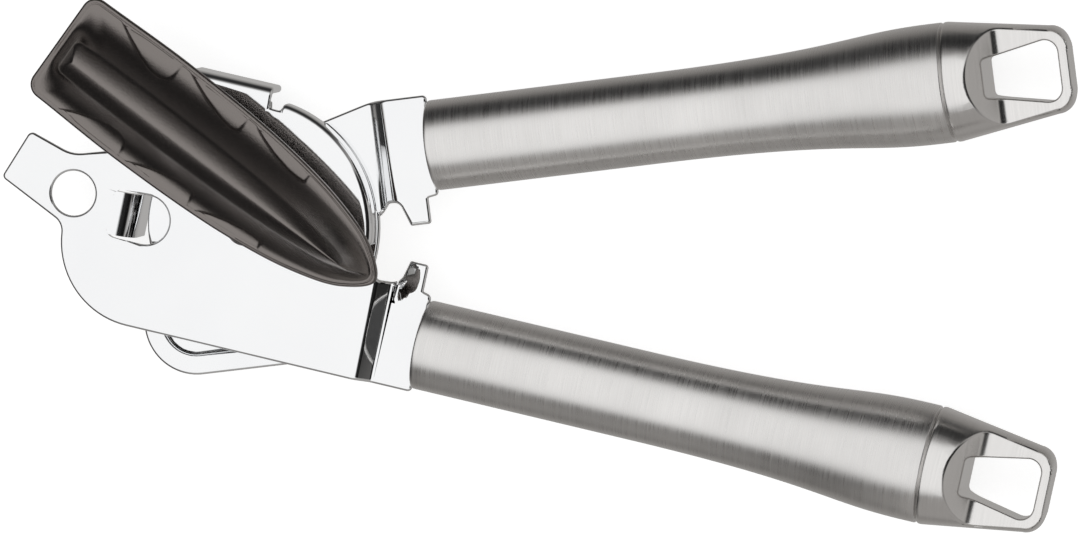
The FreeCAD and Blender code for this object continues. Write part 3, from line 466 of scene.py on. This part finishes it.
def crank_knob():
    steps = 330
    rim = whole_outline(KNOB_BACK, KNOB_TIP, KNOB_HALF, KNOB_CORNER, steps)
    eased_rim = whole_outline(KNOB_BACK - RIM_ROUND, KNOB_TIP - RIM_ROUND, KNOB_HALF - RIM_ROUND,
                              KNOB_CORNER - RIM_ROUND, steps)
    foot = whole_outline(KNOB_BACK - KNOB_LEDGE, KNOB_TIP - KNOB_LEDGE, KNOB_HALF - KNOB_LEDGE,
                         KNOB_CORNER - KNOB_LEDGE, steps)
    crest = whole_outline(KNOB_BACK - CREST_SETBACK, KNOB_TIP - CREST_SETBACK, CREST_HALF, 1.4, steps)
    body = KNOB_HEIGHT - KNOB_RIM
    crown = 2.5                         # the crest's own rise over its edge
    loops = []

    def level(points, z):
        loops.append([Vector((p.x, p.y, z)) for p in points])

    bore = []
    for p in rim:
        a = math.atan2(p.y, p.x)
        bore.append(Vector((INSERT_RADIUS * math.cos(a), INSERT_RADIUS * math.sin(a), 0)))
    level(bore, INSERT_DEPTH)
    level(bore, 0.0)
    level([p * 0.5 + q * 0.5 for p, q in zip(bore, eased_rim)], 0.0)
    level(eased_rim, 0.0)
    level([p * 0.3 + q * 0.7 for p, q in zip(eased_rim, rim)], 0.09)
    level(rim, 0.3)
    for turn in range(5):
        a = math.radians(18 * turn)
        side = math.cos(a)
        level([p * (1 - side) + q * side for p, q in zip(eased_rim, rim)],
              KNOB_RIM - RIM_ROUND * (1 - math.sin(a)))
    level(eased_rim, KNOB_RIM)
    level([p * 0.45 + q * 0.55 for p, q in zip(foot, eased_rim)], KNOB_RIM - 0.22)
    level([p * 0.85 + q * 0.15 for p, q in zip(foot, eased_rim)], KNOB_RIM - 0.20)
    rings = 44
    first_ring = len(loops)
    for k in range(rings + 1):
        share = 1 - k / rings
        height = knob_height(share) * (body - crown)
        level([c.lerp(f, share) for c, f in zip(crest, foot)], KNOB_RIM + height)
    last_ring = len(loops) - 1
    spine_back, spine_tip = -(KNOB_BACK - CREST_SETBACK) + 2.4, KNOB_TIP - CREST_SETBACK - 2.2
    for k in range(1, 11):
        share = 1 - k / 10
        rise = 1 - share ** 1.35
        points = []
        for c in crest:
            middle = Vector((min(max(c.x, spine_back), spine_tip), 0, 0))
            points.append(middle.lerp(c, max(share, 0.012)))
        level(points, KNOB_HEIGHT - crown + crown * rise)
    net = bmesh.new()
    rows = [[net.verts.new(p * MM) for p in loop] for loop in loops]
    skin(net, rows)
    count = len(rows[0])
    net.faces.new(list(reversed(rows[0])))
    top = rows[-1]
    for i in range(steps):
        low, high = top[(count - i) % count], top[i]
        low_next, high_next = top[count - i - 1], top[i + 1]
        corners = [high, high_next] + [v for v in (low_next, low) if v not in (high, high_next)]
        if len(corners) > 2:
            net.faces.new(corners)
    bmesh.ops.recalc_face_normals(net, faces=net.faces)
    # rounds the shoulder between the side and the crest
    shoulder = [v for row in rows[last_ring - 7:last_ring + 4] for v in row]
    for _ in range(5):
        bmesh.ops.smooth_vert(net, verts=shoulder, factor=0.5, use_axis_x=True, use_axis_y=True,
                              use_axis_z=True)
    net.normal_update()
    moves = []
    for row in rows[first_ring:last_ring - 3]:
        for vertex in row:
            depth = grip_depth(vertex.co.x / MM, abs(vertex.co.y) / MM)
            if depth > 0.004:
                moves.append((vertex, vertex.normal * (-depth * MM)))
    for vertex, move in moves:
        vertex.co += move
    mesh = bpy.data.meshes.new("crank_knob")
    net.to_mesh(mesh)
    net.free()
    mesh.transform(Matrix.Scale(KNOB_HEIGHT * MM / max(v.co.z for v in mesh.vertices), 4, (0, 0, 1)))
    smooth(mesh, 60)
    return put("piece_crank_knob", "crank_knob", mesh, CRANK_PLACE)


def dress_nodes():
    """Gives every CAD node the material of its slot."""
    for name, node in frame["nodes"].items():
        node.data.materials.clear()
        node.data.materials.append(MATERIALS[SLOT_OF[name]])


# ---- stage: camera, floor and light ------------------------------------------------------------
PICTURE_WIDTH_PX = 1080
MM_PER_PX = 0.2
IMAGE_TURN = math.radians(12.24)        # the picture's upright, from the row frame's +Y
LEAN_RIGHT = 0.195                      # how far the camera leans towards the handles
LEAN_UP = 0.07
AIM_HEIGHT = -1.6                       # the picture's middle from the pivot, mm
AIM_ACROSS = 58.0
AIM_DOWN = 8.5
CAMERA_DISTANCE = 1.8
SENSOR = 36.0
RIGHT = Vector((math.cos(IMAGE_TURN), math.sin(IMAGE_TURN), 0))
UPWARD = Vector((-math.sin(IMAGE_TURN), math.cos(IMAGE_TURN), 0))
BLACK = (0, 0, 0)
CURTAIN_LEAN = math.radians(52)         # the black curtain, from straight up
CURTAIN = RIGHT * math.sin(CURTAIN_LEAN) + Vector((0, 0, math.cos(CURTAIN_LEAN)))
NEAR_WALL = RIGHT * 0.25 - UPWARD * 0.97
TOWARD = (RIGHT * LEAN_RIGHT + UPWARD * LEAN_UP
          + Vector((0, 0, math.sqrt(1 - LEAN_RIGHT ** 2 - LEAN_UP ** 2))))


def make_camera():
    across = UPWARD.cross(TOWARD).normalized()
    over = TOWARD.cross(across)
    aim = PIVOT + (Vector((0, 0, AIM_HEIGHT)) + across * AIM_ACROSS - over * AIM_DOWN) * MM
    camera = bpy.data.objects.new("camera", bpy.data.cameras.new("camera"))
    bpy.context.scene.collection.objects.link(camera)
    camera.data.sensor_width = SENSOR
    camera.data.lens = SENSOR * CAMERA_DISTANCE / (PICTURE_WIDTH_PX * MM_PER_PX * MM)
    camera.data.clip_end = 20
    spot = aim + TOWARD * CAMERA_DISTANCE
    camera.matrix_world = Matrix((
        (across.x, over.x, TOWARD.x, spot.x),
        (across.y, over.y, TOWARD.y, spot.y),
        (across.z, over.z, TOWARD.z, spot.z),
        (0, 0, 0, 1)))
    bpy.context.scene.camera = camera


def make_floor():
    bpy.ops.mesh.primitive_plane_add(size=8, location=(0, 0, 0))
    floor = bpy.context.object
    floor.name = "floor"
    material, _, principled = new_material("floor")
    principled.inputs["Base Color"].default_value = (0.6, 0.6, 0.6, 1)
    principled.inputs["Roughness"].default_value = 0.9
    principled.inputs["Specular IOR Level"].default_value = 0.1
    principled.inputs["Emission Color"].default_value = (1, 1, 1, 1)
    principled.inputs["Emission Strength"].default_value = 0.78
    floor.data.materials.append(material)
    floor.visible_glossy = False        # the polished steel mirrors the world, not the floor


def make_world():
    """A white ceiling over dark walls, two of them paler, with a black curtain high on one side."""
    world = bpy.data.worlds.new("studio")
    bpy.context.scene.world = world
    world.use_nodes = True
    shader = Shader(world.node_tree)
    background = world.node_tree.nodes["Background"]
    direction = shader.add("ShaderNodeTexCoord").outputs["Generated"]
    height = shader.math("MULTIPLY_ADD", shader.towards(direction, Vector((0, 0, 1))), 0.5)
    height.node.inputs[2].default_value = 0.5       # 0 straight down, 0.5 level, 1 straight up
    ceiling = shader.ramp(height, [
        (0.0, (0.42, 0.41, 0.40)), (0.23, (0.26, 0.25, 0.24)), (0.39, (0.05, 0.05, 0.05)),
        (0.53, (0.02, 0.02, 0.02)), (0.66, (0.035, 0.035, 0.035)), (0.76, (0.26, 0.255, 0.25)),
        (0.83, (0.84, 0.84, 0.84)), (0.88, (0.97, 0.97, 0.97))])
    near_wall = shader.ramp(shader.towards(direction, NEAR_WALL), [
        (0.58, BLACK), (0.85, (0.34, 0.33, 0.32))])
    far_wall = shader.ramp(shader.towards(direction, RIGHT), [
        (0.55, BLACK), (0.9, (0.42, 0.41, 0.40))])
    curtain = shader.ramp(shader.towards(direction, CURTAIN), [
        (0.89, (1, 1, 1)), (0.93, (0.02, 0.02, 0.02))])
    room = shader.blend("LIGHTEN", shader.blend("LIGHTEN", ceiling, near_wall), far_wall)
    shader.link(shader.blend("MULTIPLY", room, curtain), background.inputs["Color"])
    background.inputs["Strength"].default_value = 1.0


def make_stage():
    bpy.context.scene.view_settings.view_transform = "Standard"
    make_camera()
    make_floor()
    make_world()


make_stage()
dress_nodes()
eased("front_plate", FRONT_PLACE, PLATE_ROUND, WINDOW_BEND)
eased("back_plate", BACK_PLACE, PLATE_ROUND)
eased("front_end_cap", FRONT_TUBE_PLACE @ TO_CAP, CAP_ROUND)
eased("back_end_cap", BACK_TUBE_PLACE @ TO_CAP, CAP_ROUND)
handle_tube("front_handle_tube", FRONT_TUBE_PLACE)
handle_tube("back_handle_tube", BACK_TUBE_PLACE)
crank_knob()
